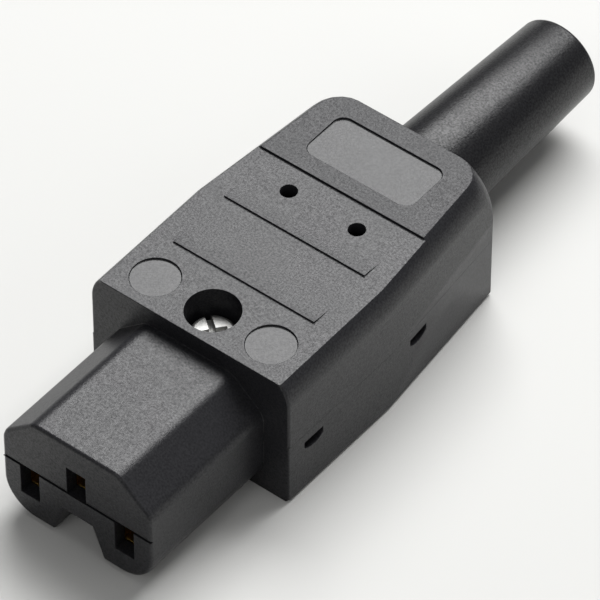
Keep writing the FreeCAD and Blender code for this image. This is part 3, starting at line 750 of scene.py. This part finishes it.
@dataclass(kw_only=True)
class ThreadedScrews(SoftenedPiece):
    """Screws of one size: each shank is drawn in to its core, and a helical ridge is wound on it.

    A shank is given by the X, Y and Z of the middle of its lower end.
    """

    shanks: tuple[tuple[float, float, float], ...]
    length: float
    thread: Thread
    ridge_sides: int = 4
    steps_per_turn: int = 24
    slack: float = 0.02

    def reshape(self, mesh: bmesh.types.BMesh) -> None:
        """Draw each shank in from the crest of its thread to the core.

        Args:
            mesh: Copied mesh, whose shanks are plain cylinders.
        """
        crest = self.thread.crest
        core_share = (crest - self.thread.depth) / crest
        for vertex in mesh.verts:
            for x, y, low in self.shanks:
                spoke = Vector((vertex.co.x / MM - x, vertex.co.y / MM - y))
                on_shank = low - self.slack < vertex.co.z / MM < low + self.length + self.slack
                if on_shank and abs(spoke.length - crest) < self.slack:
                    spoke *= core_share
                    vertex.co.x, vertex.co.y = (x + spoke.x) * MM, (y + spoke.y) * MM

    def winding(self) -> bpy.types.NodeTree:
        """Build the tree that winds a ridge of diamond section about each point it is given.

        Returns:
            The tree.
        """
        tree = new_tree("thread", {
            "Points": Socket.GEOMETRY, "Pitch Radius": Socket.NUMBER, "Ridge Radius": Socket.NUMBER,
            "Ridge Sides": Socket.COUNT, "Turns": Socket.NUMBER, "Steps Per Turn": Socket.COUNT,
            "Height": Socket.NUMBER, "Material": Socket.MATERIAL})
        given = add_node(tree, "NodeGroupInput").outputs
        helix = add_node(tree, "GeometryNodeCurveSpiral", {
            "Resolution": given["Steps Per Turn"], "Rotations": given["Turns"],
            "Start Radius": given["Pitch Radius"], "End Radius": given["Pitch Radius"],
            "Height": given["Height"], "Reverse": True})
        section = add_node(tree, "GeometryNodeCurvePrimitiveCircle", {
            "Resolution": given["Ridge Sides"], "Radius": given["Ridge Radius"]})
        ridge = add_node(tree, "GeometryNodeCurveToMesh", {
            "Curve": helix.outputs["Curve"], "Profile Curve": section.outputs["Curve"], "Fill Caps": True})
        wound = add_node(tree, "GeometryNodeInstanceOnPoints", {
            "Points": given["Points"], "Instance": ridge.outputs["Mesh"]})
        end_tree(tree, wound.outputs["Instances"], given["Material"])
        return tree

    def build(self) -> bpy.types.Object:
        """Build the screws and their threads, which start and end half a pitch inside the shank.

        Returns:
            The screws without their threads.
        """
        screws = super().build()
        pitch, ridge = self.thread.pitch, self.thread.depth / 2
        height = self.length - pitch
        points = bpy.data.meshes.new(f"thread_{self.node}")
        points.from_pydata([(x * MM, y * MM, (low + pitch / 2) * MM) for x, y, low in self.shanks], [], [])
        thread = link_to_scene(bpy.data.objects.new(f"thread_{self.node}", points))
        set_inputs(thread.modifiers.new("winding", "NODES"), self.winding(), {
            "Pitch Radius": (self.thread.crest - ridge) * MM, "Ridge Radius": ridge * MM,
            "Ridge Sides": self.ridge_sides, "Turns": height / pitch, "Steps Per Turn": self.steps_per_turn,
            "Height": height * MM, "Material": self.materials[0]})
        hand_over(plain_mesh(thread), self.slot)
        return screws


@dataclass
class Fasteners:
    """Screws and nut of plated steel."""

    edge: float = 0.06
    cover_shank: float = 12.675
    cover_thread: Thread = Thread(crest=1.5, pitch=0.5, depth=0.28)
    terminal_shank: float = 2.9
    terminal_thread: Thread = Thread(crest=1.4, pitch=0.45, depth=0.25)
    clamp_shank: float = 7.2
    clamp_thread: Thread = Thread(crest=1.25, pitch=0.45, depth=0.25)
    clamp_spacing: float = 14.4

    def build(self) -> None:
        """Build the cover screw, its nut and the small screws inside."""
        steel, rules = (PLATED_STEEL.material(),), (EdgeRule(self.edge),)
        cover, clamp = box_of("cover_screw"), box_of("clamp_screws")
        terminals = [box_of(f"{line}_terminal") for line in LINES]
        aside = self.clamp_spacing / 2
        cover_ends = ((0.0, cover.middle().y, cover.low.z),)
        terminal_ends = tuple((*box.middle().xy, box.high.z - self.terminal_shank) for box in terminals)
        clamp_ends = tuple((x, clamp.middle().y, clamp.low.z) for x in (-aside, aside))
        for node, ends, length, thread in (
            ("cover_screw", cover_ends, self.cover_shank, self.cover_thread),
            ("terminal_screws", terminal_ends, self.terminal_shank, self.terminal_thread),
            ("clamp_screws", clamp_ends, self.clamp_shank, self.clamp_thread),
        ):
            ThreadedScrews(
                node, Slot.SCREW, steel, rules, shanks=ends, length=length, thread=thread).build()
        SoftenedPiece("cover_nut", Slot.SCREW, steel, rules).build()


@dataclass
class Insides:
    """Contacts, terminals and the cable clamp."""

    strip_edge: float = 0.05
    bar_edge: float = 0.2
    clamp_edge: float = 0.25

    def build(self) -> None:
        """Build every piece that the closed housing holds."""
        strip, bar = (ROLLED_BRASS.material(),), (DRAWN_BRASS.material(),)
        for line in LINES:
            SoftenedPiece(f"{line}_contact", Slot.CONTACT, strip, (EdgeRule(self.strip_edge),)).build()
            SoftenedPiece(f"{line}_terminal", Slot.TERMINAL, bar, (EdgeRule(self.bar_edge),)).build()
        clamp = (PLAIN_MOULDED.material(),)
        SoftenedPiece("cable_clamp", Slot.CLAMP, clamp, (EdgeRule(self.clamp_edge),)).build()


@dataclass(frozen=True)
class Softbox:
    """Oblong area light that faces the object, with its width level and its power in watts."""

    name: str
    way: tuple[float, float, float]
    width: float
    depth: float
    power: float
    distance: float = 1000.0

    def build(self) -> None:
        """Hang the light on its way from the object and turn it to the object."""
        light = bpy.data.lights.new(self.name, "AREA")
        light.shape = "RECTANGLE"
        light.size = self.width * MM
        light.size_y = self.depth * MM
        light.energy = self.power
        lamp = link_to_scene(bpy.data.objects.new(self.name, light))
        lamp.location = Vector(self.way).normalized() * self.distance * MM
        lamp.rotation_euler = (-lamp.location).to_track_quat("-Z", "Y").to_euler()


# The key shines off the tops towards the camera. The weak ones lift the dark faces a little, and the one in
# front shows the forms of the top from behind.
SOFTBOXES = (
    Softbox("key", (-0.18, 0.54, 0.82), width=950, depth=600, power=18.5),
    Softbox("overhead", (0.0, 0.0, 1.0), width=600, depth=600, power=1.1),
    Softbox("side", (0.85, 0.1, 0.52), width=600, depth=600, power=1.0),
    Softbox("front", (0.15, -0.75, 0.65), width=1000, depth=500, power=2.0),
)


@dataclass
class Studio:
    """Pale floor, soft light that comes mainly from behind and above, and the camera of the photograph.

    The lens is a focal length for Blender's own sensor, and the aim is in the middle of the picture.
    """

    azimuth: float = 38.611
    elevation: float = 46.159
    lens: float = 353.96
    distance: float = 669.23
    aim: tuple[float, float, float] = (9.761, -17.153, 24.085)
    nearest: float = 10.0
    floor_half: float = 3000.0
    sky_tone: str = "#ffffff"
    sky_strength: float = 0.1

    def direction(self) -> Vector:
        """Unit vector from the object towards the camera."""
        turn, lift = math.radians(self.azimuth), math.radians(self.elevation)
        return Vector((math.sin(turn) * math.cos(lift), -math.cos(turn) * math.cos(lift), math.sin(lift)))

    def place_camera(self) -> None:
        """Put the camera where the photograph was taken from."""
        lens = bpy.data.cameras.new("camera")
        lens.lens = self.lens
        lens.clip_start = self.nearest * MM
        camera = link_to_scene(bpy.data.objects.new("camera", lens))
        camera.location = Vector(self.aim) * MM + self.direction() * self.distance * MM
        camera.rotation_euler = (-self.direction()).to_track_quat("-Z", "Y").to_euler()
        bpy.context.scene.camera = camera

    def lay_floor(self) -> None:
        """Lay a plain pale floor under the object."""
        mesh = bpy.data.meshes.new("floor")
        half = self.floor_half * MM
        corners = [(-half, -half, 0), (half, -half, 0), (half, half, 0), (-half, half, 0)]
        mesh.from_pydata(corners, [], [(0, 1, 2, 3)])
        mesh.materials.append(FLOOR_PAINT.material())
        floor = link_to_scene(bpy.data.objects.new("floor", mesh))

    def light_sky(self) -> None:
        """Fill the shadows with a faint even light from all round."""
        world = bpy.data.worlds.new("studio")
        world.use_nodes = True
        sky = world.node_tree.nodes["Background"].inputs
        sky["Color"].default_value = linear(self.sky_tone)
        sky["Strength"].default_value = self.sky_strength
        bpy.context.scene.world = world

    def build(self) -> None:
        """Set up the whole studio."""
        self.place_camera()
        self.lay_floor()
        for softbox in SOFTBOXES:
            softbox.build()
        self.light_sky()
        bpy.context.scene.view_settings.view_transform = "Standard"


def main() -> None:
    """Build every sub-assembly in order; each piece logs its count of faces."""
    logging.basicConfig(level=logging.INFO, format="%(message)s")
    Studio().build()
    Housing().build()
    BendSleeve().build()
    Fasteners().build()
    Insides().build()


if __name__ == "__main__":
    main()
